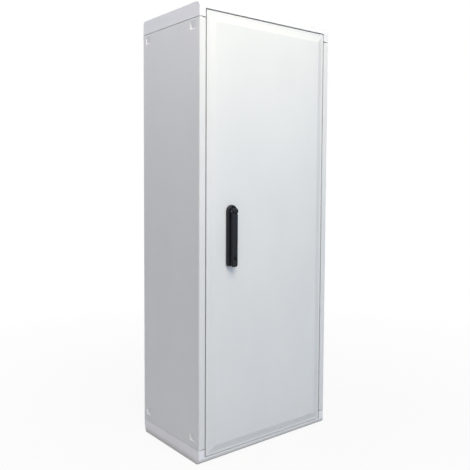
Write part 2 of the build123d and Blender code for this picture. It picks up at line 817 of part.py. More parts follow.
# Lever: rounded bar with a hollowed head round the knuckle, a tongue and a finger notch
with BuildPart() as lever:
    with BuildSketch(facing(lever_back)):
        span(handle_x - lever_width / 2, handle_x + lever_width / 2, lever_low, lever_high)
        fillet(vertices().group_by(Axis.Y)[0], radius=lever_end_round)
        fillet(vertices().group_by(Axis.Y)[-1], radius=lever_head_round)
    extrude(amount=lever_thickness)
    fillet(edges().group_by(Axis.Y)[0], radius=lever_round)
    with BuildSketch(Plane.YZ.offset(handle_x)):
        Polygon(
            (lever_back, lever_low),
            (lever_back - lever_notch_depth, lever_low),
            (lever_back - lever_notch_depth, lever_low + lever_notch_height),
            (lever_back, lever_low + lever_notch_height + lever_notch_depth),
            align=None,
        )
    extrude(amount=lever_width / 2, both=True, mode=Mode.SUBTRACT)
    with BuildSketch(Plane.YZ.offset(handle_x)):
        with Locations((knuckle_y, hub_z)):
            Circle(knuckle_radius + knuckle_gap)
    extrude(amount=lever_width / 2, both=True, mode=Mode.SUBTRACT)
    with BuildSketch(Plane.YZ.offset(handle_x)):
        with Locations((knuckle_y, hub_z)):
            Circle(tongue_radius)
        span(knuckle_y - tongue_radius + lever_round, lever_back, hub_z - knuckle_radius - lever_round, hub_z)
    extrude(amount=tongue_width / 2, both=True)
    with BuildSketch(Plane.YZ.offset(handle_x)):
        with Locations((knuckle_y, hub_z)):
            Circle(lever_pin_radius + running_gap)
    extrude(amount=tongue_width / 2, both=True, mode=Mode.SUBTRACT)
    bore([(handle_x, key_z)], lever_front + key_depth, key_depth, key_radius + running_gap)

with BuildPart() as lock_cylinder:
    with BuildSketch(facing(lever_front + key_depth)):
        with Locations((handle_x, key_z)):
            Circle(key_radius)
    extrude(amount=key_depth + key_proud)
    with BuildSketch(facing(lever_front - key_proud)):
        with Locations((handle_x, key_z)):
            SlotOverall(keyway_length, keyway_width, rotation=quarter_turn)
    extrude(amount=-keyway_depth, mode=Mode.SUBTRACT)

# Square spindle from the hub to the centre latch
with BuildPart() as spindle:
    with BuildSketch(facing(field - escutcheon_step + spindle_fit)):
        with Locations((handle_x, hub_z)):
            Rectangle(spindle_side, spindle_side)
    extrude(amount=field - escutcheon_step + spindle_fit - latch_rear)
    bore([(handle_x, hub_z)], latch_rear, spindle_screw_length, stud_hole_radius)

with BuildPart() as spindle_screw:
    screws(
        [(handle_x, hub_z)], latch_rear, spindle_screw_length - lap_gap,
        stud_radius, latch_width / 2, stud_head_height,
    )


def involute(angle):
    """Involute function of a pressure angle."""
    return tan(angle) - angle


def tooth_points(turn):
    """Outline of one pinion tooth, turned about the handle's axis."""
    base_radius = pitch_radius * cos(radians(pressure_angle))
    tip_radius = pitch_radius + pinion_addendum
    root_radius = pitch_radius - rack_addendum - tooth_bottom_gap
    half_pitch = pi / (tooth_count + tooth_count) - tooth_backlash / (pitch_radius + pitch_radius)
    half_base = half_pitch + involute(radians(pressure_angle))
    rim = [(root_radius - tooth_bottom_gap, half_base)]
    for step in range(flank_steps + 1):
        radius = base_radius + (tip_radius - base_radius) * step / flank_steps
        rim.append((radius, half_base - involute(acos(base_radius / radius))))
    outline = [(r, -h) for r, h in rim] + [(r, h) for r, h in reversed(rim)]
    return [(handle_x + r * cos(turn + h), hub_z + r * sin(turn + h)) for r, h in outline]


# Pinion of the lock: stub involute teeth, one tooth level with each rack at rest
with BuildPart() as pinion:
    with BuildSketch(facing(rod_front)):
        with Locations((handle_x, hub_z)):
            Circle(pitch_radius - rack_addendum - tooth_bottom_gap)
        for k in range(tooth_count):
            Polygon(*tooth_points((k + k) * pi / tooth_count), align=None)
    extrude(amount=-rod_thickness)
    square_hole(rod_front, rod_thickness)


def rack_rod(side, z0, z1, spaces):
    """Flat rod on the left (-1) or right (1) of the pinion, its rack spaces cut from the inner edge."""
    with BuildSketch(facing(rod_front)) as shape:
        span(
            handle_x + min(side * rack_edge, side * rod_edge),
            handle_x + max(side * rack_edge, side * rod_edge), z0, z1,
        )
        slope = tan(radians(pressure_angle))
        half = tooth_pitch / 4 + tooth_backlash / 2
        mouth = half + (rack_addendum + tooth_bottom_gap) * slope
        foot = half - (rack_root - pitch_radius) * slope
        for k in spaces:
            z = hub_z + k * tooth_pitch
            Polygon(
                (handle_x + side * (rack_edge - tooth_bottom_gap), z - mouth),
                (handle_x + side * (rack_edge - tooth_bottom_gap), z + mouth),
                (handle_x + side * rack_root, z + foot),
                (handle_x + side * rack_root, z - foot),
                align=None, mode=Mode.SUBTRACT,
            )
    extrude(shape.sketch, amount=-rod_thickness)


rack_tail = (rack_spaces_behind + 1) * tooth_pitch
with BuildPart() as upper_rod:
    rack_rod(1, hub_z - rack_tail, upper_rod_tip, range(-rack_spaces_behind, rack_spaces_ahead + 1))
    chamfer(edges().filter_by(Axis.Y).group_by(Axis.Z)[-1], length=rod_tip_chamfer)

with BuildPart() as lower_rod:
    rack_rod(-1, lower_rod_tip, hub_z + rack_tail, range(-rack_spaces_ahead, rack_spaces_behind + 1))
    chamfer(edges().filter_by(Axis.Y).group_by(Axis.Z)[0], length=rod_tip_chamfer)

# Centre latch: points up at rest and swings behind the left strike
with BuildPart() as centre_latch:
    with BuildSketch(facing(latch_front)):
        with Locations((handle_x, hub_z)):
            Circle(latch_hub_radius)
        with Locations((handle_x, hub_z + latch_length - latch_width / 2)):
            Circle(latch_width / 2)
        span(
            handle_x - latch_width / 2, handle_x + latch_width / 2,
            hub_z, hub_z + latch_length - latch_width / 2,
        )
    extrude(amount=-latch_thickness)
    square_hole(latch_front, latch_thickness)

# Lock case: open tray that guides both rods, with a strap across the pinion
with BuildPart() as lock_case:
    with BuildSketch(facing(case_front)):
        span(
            handle_x - case_half, handle_x + case_half,
            hub_z - case_half_height, hub_z + case_half_height,
        )
        with Locations((handle_x, hub_z)):
            Circle(spindle_side - spindle_clearance, mode=Mode.SUBTRACT)
        with Locations(*case_spots):
            Circle(hole_radius, mode=Mode.SUBTRACT)
    extrude(amount=-case_floor)
    with BuildSketch(facing(case_inner)):
        for side in (-1, 1):
            inner = side * case_side
            outer = side * (case_side + case_wall)
            span(
                handle_x + min(inner, outer), handle_x + max(inner, outer),
                hub_z - case_half_height, hub_z + case_half_height,
            )
    extrude(amount=case_inner - case_rim)
    bore(strap_spots, case_rim, case_rim - case_inner, hole_radius)

with BuildPart() as case_strap:
    with BuildSketch(facing(case_rim)):
        span(
            handle_x - case_side - case_wall, handle_x + case_side + case_wall,
            hub_z - strap_half_height, hub_z + strap_half_height,
        )
        with Locations((handle_x, hub_z)):
            Circle(spindle_side - spindle_clearance, mode=Mode.SUBTRACT)
        with Locations(*strap_spots):
            Circle(hole_radius, mode=Mode.SUBTRACT)
    extrude(amount=-strap_thickness)

with BuildPart() as case_screws:
    screws(
        case_spots, case_inner, case_inner - field_inner - lap_gap,
        screw_radius, screw_head_radius, screw_head_height,
    )

with BuildPart() as strap_screws:
    screws(
        strap_spots, case_rim + strap_thickness, strap_thickness + case_rim - case_inner - lap_gap,
        screw_radius, screw_head_radius, strap_head_height,
    )


def rod_guide(centre_x, centre_z):
    """Bridge on the door's inner face that a rod slides through."""
    with BuildSketch(Plane.XY.offset(centre_z - guide_height / 2)) as shape:
        span(centre_x - guide_half, centre_x + guide_half, field_inner, rod_rear + lap_gap + guide_wall)
        span(
            centre_x - guide_half - guide_foot, centre_x + guide_half + guide_foot,
            field_inner, field_inner + guide_foot_thickness,
        )
        span(
            centre_x - guide_half + guide_wall, centre_x + guide_half - guide_wall,
            rod_front - lap_gap, rod_rear + lap_gap, mode=Mode.SUBTRACT,
        )
        span(
            centre_x - guide_half + guide_wall, centre_x + guide_half - guide_wall,
            field_inner + guide_foot_thickness, rod_front - lap_gap - guide_wall, mode=Mode.SUBTRACT,
        )
    extrude(shape.sketch, amount=guide_height)
    bore(
        [s for s in guide_spots if s[1] == centre_z], field_inner + guide_foot_thickness,
        guide_foot_thickness, hole_radius,
    )


with BuildPart() as upper_rod_guide:
    rod_guide(rod_centres[0], guide_spots_z[0])

with BuildPart() as lower_rod_guide:
    rod_guide(rod_centres[1], guide_spots_z[1])

with BuildPart() as guide_screws:
    screws(
        guide_spots, field_inner + guide_foot_thickness, guide_foot_thickness + screw_bite - lap_gap,
        screw_radius, screw_head_radius, screw_head_height,
    )


def rod_strike(k):
    """Wear plate behind the cap's apron where a rod's end runs."""
    with BuildSketch(facing(flange_rear)) as shape:
        with Locations((rod_centres[k], strike_centres_z[k])):
            Rectangle(strike_half + strike_half, strike_height)
        with Locations(strike_spots[k + k], strike_spots[k + k + 1]):
            Circle(hole_radius, mode=Mode.SUBTRACT)
    extrude(shape.sketch, amount=-strike_thickness)


with BuildPart() as upper_strike:
    rod_strike(0)

with BuildPart() as lower_strike:
    rod_strike(1)

with BuildPart() as left_strike:
    with BuildSketch(facing(flange_rear)):
        with Locations((left_strike_x, hub_z)):
            RectangleRounded(left_strike_width, left_strike_height, left_strike_corner)
    extrude(amount=flange_rear - left_strike_rear)
    bore(left_strike_spots, left_strike_rear, left_strike_rear - flange_rear, hole_radius)
    bore(
        left_strike_spots, left_strike_rear, screw_head_height + lap_gap,
        screw_head_radius + screw_hole_gap,
    )

with BuildPart() as strike_screws:
    screws(
        strike_spots, flange_rear + strike_thickness, strike_thickness + screw_bite - lap_gap,
        screw_radius, screw_head_radius, screw_head_height,
    )
    screws(
        left_strike_spots, left_strike_rear - screw_head_height - lap_gap,
        left_strike_rear - screw_head_height - lap_gap - flange_rear + screw_bite - lap_gap,
        screw_radius, screw_head_radius, screw_head_height,
    )

pieces = {
    "left_side_wall": left_side_wall, "right_side_wall": right_side_wall, "roof": roof, "base": base,
    "rear_wall": rear_wall, "rear_screws": rear_screws, "splice_plates": splice_plates,
    "splice_screws": splice_screws, "floor_plate_front": floor_plate_front,
    "floor_plate_rear": floor_plate_rear, "floor_screws": floor_screws, "mounting_plate": mounting_plate,
    "plate_standoffs": plate_standoffs, "plate_screws": plate_screws, "door_panel": door_panel,
    "door_gasket": door_gasket, "upper_pivot_pin": upper_pivot_pin, "lower_pivot_pin": lower_pivot_pin,
    "upper_pivot_bush": upper_pivot_bush, "lower_pivot_bush": lower_pivot_bush,
    "thrust_washer": thrust_washer, "escutcheon_seal": escutcheon_seal, "escutcheon": escutcheon,
    "escutcheon_screws": escutcheon_screws, "handle_hub": handle_hub, "lever_pin": lever_pin,
    "lever": lever, "lock_cylinder": lock_cylinder, "spindle": spindle, "spindle_screw": spindle_screw,
    "pinion": pinion, "upper_rod": upper_rod, "lower_rod": lower_rod, "centre_latch": centre_latch,
    "lock_case": lock_case, "case_strap": case_strap, "case_screws": case_screws,
    "strap_screws": strap_screws, "upper_rod_guide": upper_rod_guide, "lower_rod_guide": lower_rod_guide,
    "guide_screws": guide_screws, "upper_strike": upper_strike, "lower_strike": lower_strike,
    "left_strike": left_strike, "strike_screws": strike_screws,
}
for label, piece in pieces.items():
    piece.part.label = label
    export_step(piece.part, f"parts/{label}.step")
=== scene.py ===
import bpy
import json
import math
import numpy as np
from mathutils import Matrix, Vector


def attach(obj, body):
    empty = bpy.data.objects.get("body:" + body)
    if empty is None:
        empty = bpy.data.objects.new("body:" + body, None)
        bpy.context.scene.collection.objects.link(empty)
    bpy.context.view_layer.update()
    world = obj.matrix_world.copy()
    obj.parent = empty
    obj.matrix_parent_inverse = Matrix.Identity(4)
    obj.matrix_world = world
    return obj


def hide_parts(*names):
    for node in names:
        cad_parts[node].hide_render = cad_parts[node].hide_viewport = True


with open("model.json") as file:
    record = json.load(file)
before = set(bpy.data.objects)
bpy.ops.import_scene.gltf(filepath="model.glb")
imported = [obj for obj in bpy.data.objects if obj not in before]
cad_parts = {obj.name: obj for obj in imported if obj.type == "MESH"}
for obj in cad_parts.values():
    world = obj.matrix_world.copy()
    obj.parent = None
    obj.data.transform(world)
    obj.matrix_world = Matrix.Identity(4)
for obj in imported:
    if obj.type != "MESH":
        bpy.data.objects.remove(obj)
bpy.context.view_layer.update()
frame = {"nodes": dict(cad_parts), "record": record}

# Door and lock, in metres
FRONT = -0.165
DOOR_PAN = 0.005
DOOR_HALF = 0.249
DOOR_LOW = 0.020
DOOR_HIGH = 1.378
HANDLE_X = -0.161
HUB_Z = 0.77798
ROD_OFFSET = 0.0177
RODS_X = (HANDLE_X + ROD_OFFSET, HANDLE_X - ROD_OFFSET)

# Foam bead: its lines are in metres, the powers shape its profile
SEAL_INSET = 0.0205
SEAL_SEAT = FRONT + DOOR_PAN
SEAL_REAR = -0.1533
SEAL_BEND = 0.008
SEAL_HALF = 0.0059
SEAL_WIDTH_POWER = 0.55
SEAL_HEIGHT_POWER = 0.6
SEAL_BEND_STEPS = 9
SEAL_PROFILE_STEPS = 28

# Screw heads: radius and height in metres
SMALL_HEAD = (0.0036, 0.0026)
LARGE_HEAD = (0.005, 0.0035)

# Form of a screw head, in shares of its radius or its height, and the turn between heads in radians
HEAD_RINGS = np.concatenate([np.linspace(0.04, 0.90, 11), [0.96, 0.99, 1.0, 1.0]])
HEAD_RAYS = 48
HEAD_DOME = 0.92
HEAD_RIM = 0.06
HEAD_SUNK = 0.02
HEAD_TURN = 0.7
CROSS_HALF = 0.17
CROSS_FLANK = 0.07
CROSS_REACH = 0.62
CROSS_RUNOUT = 0.10
CROSS_DEPTH = 0.5

# Places of the screws: the face that they sit on, then their rows and their offsets to either side
SIDES = (-1, 1)
REARWARDS = (0, 1, 0)
FORWARDS = (0, -1, 0)
UPWARDS = (0, 0, 1)
REAR_FACE = 0.165
REAR_SCREW_X = 0.2565
REAR_SCREW_ROWS = (0.074, 0.69925, 1.3245)
PLATE_FACE = 0.130
PLATE_SCREW_X = 0.185
PLATE_SCREW_ROWS = (0.120, 0.700, 1.280)
CASE_FACE = -0.138
CASE_SCREW_X = 0.037
CASE_SCREW_Z = 0.017
GUIDE_FACE = -0.164
GUIDE_SCREW_X = 0.0178
GUIDE_ROWS = (1.284, 0.116)
ESCUTCHEON_SEAT = -0.168
ESCUTCHEON_SCREW_DROPS = (0.043, 0.152)
STRIKE_FACE = -0.1355
STRIKE_SCREW_X = 0.0125
STRIKE_ROWS = (1.368, 0.032)
LEFT_STRIKE_X = -0.237
LEFT_STRIKE_FACE = -0.1284
LEFT_STRIKE_SCREW_Z = 0.007
FLOOR_PLATE_TOP = 0.007
FLOOR_SCREW_X = 0.196
FLOOR_SCREW_MIDDLE = 0.010
FLOOR_SCREW_Y = 0.0585

# Painted shade on the foot, darker towards the ground: heights in metres between which it fades, and its
# share at the ground
PAINTED_SHADE_HEIGHT = (0.003, 0.019)
PAINTED_SHADE_SHARE = 0.65

# Corner recesses, in metres: height midway between them, then centre and half size of the boxes round them
RECESS_MIDDLE = 0.7069
RECESS_BOX = ((0.2737, 0.0014), (0.1305, 0.0155), (0.6286, 0.0130))

# Lean of the recess walls: spans of their normal in which one half of the painted light comes in
RECESS_SLOPE_SPAN = (0.93, 0.90)
RECESS_UPRIGHT_SPAN = (0.25, 0.40)
RECESS_HALF = (0.0, 0.5)

# Tones of the finishes, dark and light
WALL_TONES = ((0.662, 0.674, 0.690), (0.683, 0.694, 0.707))
ROOF_TONES = ((0.707, 0.718, 0.751), (0.728, 0.739, 0.769))
BASE_TONES = ((0.772, 0.776, 0.811), (0.793, 0.797, 0.829))
NYLON_TONES = ((0.0045, 0.0047, 0.0072), (0.0100, 0.0104, 0.0150))
ZINC_TONES = ((0.60, 0.595, 0.58), (0.70, 0.693, 0.675))
STEEL_TONES = ((0.46, 0.47, 0.49), (0.62, 0.63, 0.65))
BRASS_TONES = ((0.58, 0.44, 0.20), (0.74, 0.58, 0.30))
BLACKENED_TONES = ((0.016, 0.016, 0.018), (0.034, 0.034, 0.037))
FOAM_TONES = ((0.018, 0.018, 0.019), (0.045, 0.045, 0.046))
ACETAL_TONES = ((0.78, 0.78, 0.75), (0.86, 0.86, 0.83))
FLOOR_TONES = ((0.59, 0.585, 0.58), (0.63, 0.625, 0.62))
SPECK_GREY = (0.50, 0.50, 0.50)
# The paler edge tones and the gain paint a highlight along edges (on the polyester also wear); the recess
# tone is painted light and the foot's grey is painted shade
EDGE_WEAR_AND_HIGHLIGHT = (0.80, 0.80, 0.80)
RECESS_PAINTED_LIGHT = (0.97, 0.97, 0.97)
PAINTED_SHADE_GREY = (0.40, 0.385, 0.36)
NYLON_EDGE_HIGHLIGHT = (0.075, 0.078, 0.088)
ZINC_EDGE_HIGHLIGHT = (0.80, 0.81, 0.82)
EDGE_HIGHLIGHT_GAIN = 1.2

# Spans of the noise and of the edge test that the finishes spread out, and the samples of that test
CLOUD_SPAN = (0.3, 0.7)
FLOW_SPAN = (0.35, 0.65)
SPECK_SPAN = (0.66, 0.74)
DUST_SPAN = (0.35, 0.7)
EDGE_SPAN = (0.995, 0.75)
EDGE_SAMPLES = 4

# Room and floor: the floor's level, rings and fade are in metres
WHITE = (1.0, 1.0, 1.0, 1.0)
ROOM_COLOUR = (0.84, 0.92, 1.0, 1.0)
ROOM_STRENGTH = 0.285
FLOOR_LEVEL = -0.0005
FLOOR_RINGS = np.array([0.05, 0.5, 1.0, 2.0, 4.0, 8.0, 16.0, 40.0])
FLOOR_RAYS = 96
FLOOR_FADE = (0.5, 2.2)
FLOOR_GLOW = 0.91

# Camera: lens and shift in the frame's pixels, sensor in millimetres, place in metres, turns in degrees
FRAME_PIXELS = 470
LENS_PIXELS = 602.02
SHIFT_PIXELS = -22.0
SENSOR = 36.0
CAMERA_PLACE = (-1.3107, -1.6359, 0.8755)
CAMERA_HEADING = -38.545
CAMERA_DIP = 3.191
CAMERA_ROLL = 0.311

# Sockets of a Mix node that blends colours
MIX_SHARE, MIX_FIRST, MIX_SECOND, MIX_RESULT = 0, 6, 7, 2


# Node helpers

def feed(tree, socket, value):
    """Links another node's output to a socket, or sets the socket to a plain value."""
    if isinstance(value, bpy.types.NodeSocket):
        tree.links.new(value, socket)
    else:
        socket.default_value = value


def put(tree, kind, settings=(), **sockets):
    """Adds one shader node and feeds the sockets that are named."""
    node = tree.nodes.new("ShaderNode" + kind)
    for key, value in dict(settings).items():
        setattr(node, key, value)
    for key, value in sockets.items():
        feed(tree, node.inputs[key], value)
    return node


def reckon(tree, kind, operation, *values):
    """Adds a Math or VectorMath node and feeds its sockets in their order."""
    node = put(tree, kind, {"operation": operation})
    for socket, value in zip(node.inputs, values):
        feed(tree, socket, value)
    return node


def blend_colour(tree, share, first, second):
    """First colour where the share is 0, second colour where it is 1."""
    node = put(tree, "Mix", {"data_type": "RGBA"})
    feed(tree, node.inputs[MIX_SHARE], share)
    for index, colour in ((MIX_FIRST, first), (MIX_SECOND, second)):
        feed(tree, node.inputs[index], (*colour, 1.0) if isinstance(colour, tuple) else colour)
    return node.outputs[MIX_RESULT]


def spread(tree, value, span, ends=(0.0, 1.0)):
    """Maps a value from a span to two ends, clamped."""
    node = put(tree, "MapRange", Value=value)
    for socket, number in zip(node.inputs[1:], (*span, *ends)):
        socket.default_value = number
    return node.outputs[0]


def grain(tree, place, spots, detail=2.0, roughness=0.5):
    """Noise of that many spots to a metre."""
    return put(tree, "TexNoise", Vector=place, Scale=spots, Detail=detail, Roughness=roughness).outputs["Fac"]


def stretched(tree, place, factors):
    """Coordinates times a factor along each axis: a pattern is drawn out where the factor is small."""
    return put(tree, "Mapping", Vector=place, Scale=factors).outputs[0]


def roughened(tree, height, strength, depth, **under):
    """Normal bent by a height pattern, on top of the Normal given, if any."""
    return put(tree, "Bump", Height=height, Strength=strength, Distance=depth, **under).outputs[0]


def edge_wear_and_highlight(tree, radius, most):
    """Share that rises from 0 on the faces to its most along sharp edges, where the finishes paint a paler
    tone that is a painted highlight (on the polyester also wear), and the softened normal.
    """
    soft = put(tree, "Bevel", {"samples": EDGE_SAMPLES}, Radius=radius).outputs[0]
    along = reckon(tree, "VectorMath", "DOT_PRODUCT", soft, put(tree, "NewGeometry").outputs["Normal"])
    return spread(tree, along.outputs["Value"], EDGE_SPAN, (0.0, most)), soft


def mix_shaders(tree, share, first, second, output):
    """Shows the first shader where the share is 0 and the second where it is 1."""
    mix = put(tree, "MixShader", Fac=share)
    tree.links.new(first.outputs[0], mix.inputs[1])
    tree.links.new(second.outputs[0], mix.inputs[2])
    tree.links.new(mix.outputs[0], tree.nodes[output].inputs["Surface"])


def start_finish(name):
    """New material: itself, its tree, its shader and its Object coordinates."""
    material = bpy.data.materials.new(name)
    material.use_nodes = True
    tree = material.node_tree
    return material, tree, tree.nodes["Principled BSDF"], put(tree, "TexCoord").outputs["Object"]


def dress(tree, shader, sockets):
    """Feeds the shader's sockets by name."""
    for key, value in sockets.items():
        feed(tree, shader.inputs[key], value)


# Finishes

def recess_light_share(tree, place):
    """Share of painted light: 1 on the upright walls of the corner recesses, about half on their level walls
    and 0
    elsewhere: a test of how far the face leans, and a box test on the distances from the cabinet's middle."""
    facing = reckon(tree, "VectorMath", "ABSOLUTE", put(tree, "NewGeometry").outputs["True Normal"])
    lean = put(tree, "SeparateXYZ", Vector=facing.outputs[0]).outputs
    sloped = spread(tree, lean["X"], RECESS_SLOPE_SPAN, RECESS_HALF)
    upright = spread(tree, lean["Y"], RECESS_UPRIGHT_SPAN, RECESS_HALF)
    share = reckon(tree, "Math", "ADD", sloped, upright).outputs[0]
    apart = reckon(tree, "VectorMath", "SUBTRACT", place, (0.0, 0.0, RECESS_MIDDLE))
    distance = reckon(tree, "VectorMath", "ABSOLUTE", apart.outputs[0])
    axes = put(tree, "SeparateXYZ", Vector=distance.outputs[0]).outputs
    for axis, (centre, half) in zip("XYZ", RECESS_BOX):
        within = reckon(tree, "Math", "COMPARE", axes[axis], centre, half)
        share = reckon(tree, "Math", "MULTIPLY", within.outputs[0], share).outputs[0]
    return share


def moulded_polyester(name, tones, lit_recesses=False, shaded_foot=False):
    """Light grey glass-filled polyester between two tones: fine moulded grain, faint flow marks and specks,
    paler edges that are partly wear and partly painted highlight. On request the recess walls get painted
    light, and the foot gets painted shade, darker towards the ground up to the height of the sill."""
    material, tree, shader, place = start_finish(name)
    edge, soft = edge_wear_and_highlight(tree, radius=0.0012, most=0.35)
    flow = grain(tree, stretched(tree, place, (1.0, 1.0, 0.45)), spots=7.0, detail=4.0, roughness=0.55)
    body = blend_colour(tree, spread(tree, flow, FLOW_SPAN), *tones)
    specks = spread(tree, grain(tree, place, spots=420.0, detail=1.0), SPECK_SPAN, (0.0, 0.10))
    body = blend_colour(tree, specks, body, SPECK_GREY)
    # painted highlight along the edges, on this polyester partly wear
    body = blend_colour(tree, edge, body, EDGE_WEAR_AND_HIGHLIGHT)
    if lit_recesses:
        # painted light: the recess walls are made paler, as if lit
        body = blend_colour(tree, recess_light_share(tree, place), body, RECESS_PAINTED_LIGHT)
    if shaded_foot:
        # painted shade: the foot is darkened towards the ground
        height = put(tree, "SeparateXYZ", Vector=place).outputs["Z"]
        body = blend_colour(tree, spread(tree, height, PAINTED_SHADE_HEIGHT, (PAINTED_SHADE_SHARE, 0.0)), body, PAINTED_SHADE_GREY)
    rough = spread(tree, grain(tree, place, spots=24.0, detail=3.0), CLOUD_SPAN, (0.40, 0.52))
    peel = roughened(tree, grain(tree, place, spots=520.0), strength=0.22, depth=0.0004, Normal=soft)
    swell = grain(tree, place, spots=18.0, detail=1.0)
    waves = roughened(tree, swell, strength=0.10, depth=0.002, Normal=peel)
    dress(tree, shader, {"Base Color": body, "Roughness": rough, "Normal": waves, "Specular IOR Level": 0.45})
    return material


def black_nylon():
    """Black glass-filled nylon: sandy moulded grain, a clouded sheen, greyer edges that are a painted
    highlight.
    """
    material, tree, shader, place = start_finish("black_nylon")
    edge, soft = edge_wear_and_highlight(tree, radius=0.0009, most=0.7)
    cloud = grain(tree, place, spots=90.0, detail=4.0, roughness=0.6)
    body = blend_colour(tree, spread(tree, cloud, CLOUD_SPAN), *NYLON_TONES)
    # painted highlight: the edges are greyer
    body = blend_colour(tree, edge, body, NYLON_EDGE_HIGHLIGHT)
    rough = spread(tree, cloud, CLOUD_SPAN, (0.38, 0.52))
    sand = roughened(tree, grain(tree, place, spots=1300.0), strength=0.35, depth=0.0003, Normal=soft)
    dress(tree, shader, {"Base Color": body, "Roughness": rough, "Normal": sand, "Specular IOR Level": 0.44})
    return material


def zinc_sheet():
    """Galvanised sheet: grains of zinc a centimetre across, some lighter than others, and rolling marks."""
    material, tree, shader, place = start_finish("zinc_sheet")
    edge, soft = edge_wear_and_highlight(tree, radius=0.0006, most=0.5)
    jitter = put(tree, "TexNoise", Vector=place, Scale=60.0, Detail=2.0).outputs["Color"]
    shift = put(tree, "VectorMath", {"operation": "SCALE"}, Vector=jitter, Scale=0.010)
    warp = reckon(tree, "VectorMath", "ADD", place, shift.outputs[0])
    cells = put(tree, "TexVoronoi", Vector=warp.outputs[0], Scale=85.0)
    tone = put(tree, "SeparateColor", Color=cells.outputs["Color"]).outputs[0]
    # painted highlight: the edges are brighter
    body = blend_colour(tree, edge, blend_colour(tree, tone, *ZINC_TONES), ZINC_EDGE_HIGHLIGHT)
    rough = spread(tree, tone, (0.0, 1.0), (0.42, 0.50))
    lines = grain(tree, stretched(tree, place, (60.0, 60.0, 3.0)), spots=22.0)
    rolled = roughened(tree, lines, strength=0.08, depth=0.0003, Normal=soft)
    dress(tree, shader, {"Base Color": body, "Roughness": rough, "Normal": rolled, "Metallic": 1.0})
    return material


def turned_metal(name, tones, roughness):
    """Turned or plated metal: stains between two tones, fine marks, brighter edges that are a painted
    highlight.
    """
    material, tree, shader, place = start_finish(name)
    edge, soft = edge_wear_and_highlight(tree, radius=0.0003, most=0.5)
    stain = grain(tree, place, spots=240.0, detail=4.0, roughness=0.6)
    # painted highlight: the edges are brighter by the gain
    edge_highlight = tuple(min(1.0, channel * EDGE_HIGHLIGHT_GAIN) for channel in tones[1])
    body = blend_colour(tree, edge, blend_colour(tree, spread(tree, stain, CLOUD_SPAN), *tones), edge_highlight)
    rough = spread(tree, stain, CLOUD_SPAN, roughness)
    marks = roughened(tree, grain(tree, place, spots=1500.0), strength=0.10, depth=0.0002, Normal=soft)
    dress(tree, shader, {"Base Color": body, "Roughness": rough, "Normal": marks, "Metallic": 1.0})
    return material


def foam_rubber():
    """Black closed-cell foam: small cells on the skin, slightly dusty."""
    material, tree, shader, place = start_finish("foam_rubber")
    dust = grain(tree, place, spots=45.0, detail=4.0, roughness=0.6)
    body = blend_colour(tree, spread(tree, dust, DUST_SPAN), *FOAM_TONES)
    rough = spread(tree, dust, CLOUD_SPAN, (0.72, 0.9))
    cells = put(tree, "TexVoronoi", Vector=place, Scale=900.0).outputs["Distance"]
    pores = roughened(tree, cells, strength=0.4, depth=0.0004)
    dress(tree, shader, {"Base Color": body, "Roughness": rough, "Normal": pores})
    return material


def white_acetal():
    """White acetal: waxy, faintly clouded."""
    material, tree, shader, place = start_finish("white_acetal")
    cloud = grain(tree, place, spots=160.0, detail=3.0)
    body = blend_colour(tree, cloud, *ACETAL_TONES)
    dress(tree, shader, {"Base Color": body, "Roughness": spread(tree, cloud, CLOUD_SPAN, (0.30, 0.42))})
    return material


finishes = {
    "polyester": moulded_polyester("moulded_polyester", WALL_TONES),
    "black_nylon": black_nylon(),
    "galvanised": zinc_sheet(),
    "steel": turned_metal("plated_steel", STEEL_TONES, roughness=(0.28, 0.44)),
    "brass": turned_metal("turned_brass", BRASS_TONES, roughness=(0.24, 0.38)),
    "acetal": white_acetal(),
    "gasket": foam_rubber(),
    "blackened": turned_metal("blackened_metal", BLACKENED_TONES, roughness=(0.34, 0.5)),
}
wall_polyester = moulded_polyester("wall_polyester", WALL_TONES, lit_recesses=True)
own_finishes = {
    "left_side_wall": wall_polyester,
    "right_side_wall": wall_polyester,
    "roof": moulded_polyester("roof_polyester", ROOF_TONES),
    "base": moulded_polyester("base_polyester", BASE_TONES, shaded_foot=True),
}
for part in frame["record"]["subparts"]:
    coats = frame["nodes"][part["node"]].data.materials
    coats.clear()
    coats.append(own_finishes.get(part["node"], finishes[part["material_slot"]]))


# Surfaces

def smooth_mesh(name, points, faces, finish):
    """Smooth mesh of points and faces, in the scene, that wears a finish."""
    mesh = bpy.data.meshes.new(name)
    mesh.from_pydata(points.tolist(), [], faces)
    mesh.polygons.foreach_set("use_smooth", np.ones(len(faces), dtype=bool))
    mesh.materials.append(finish)
    mesh.update()
    piece = bpy.data.objects.new(name, mesh)
    bpy.context.scene.collection.objects.link(piece)
    return piece


def surface(name, points, faces, body, slot):
    """Smooth mesh that rides on a body and wears the finish of a slot."""
    piece = smooth_mesh(name, points, faces, finishes[slot])
    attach(piece, body)
    return piece


def grid_faces(rows, columns, looped=False):
    """Quads of a grid whose columns close on themselves; looped, its last row also meets the first."""
    i, j = np.meshgrid(np.arange(rows if looped else rows - 1), np.arange(columns), indexing="ij")
    near, far = i * columns, (i + 1) % rows * columns
    right = (j + 1) % columns
    return np.stack([near + j, far + j, far + right, near + right], axis=-1).reshape(-1, 4)


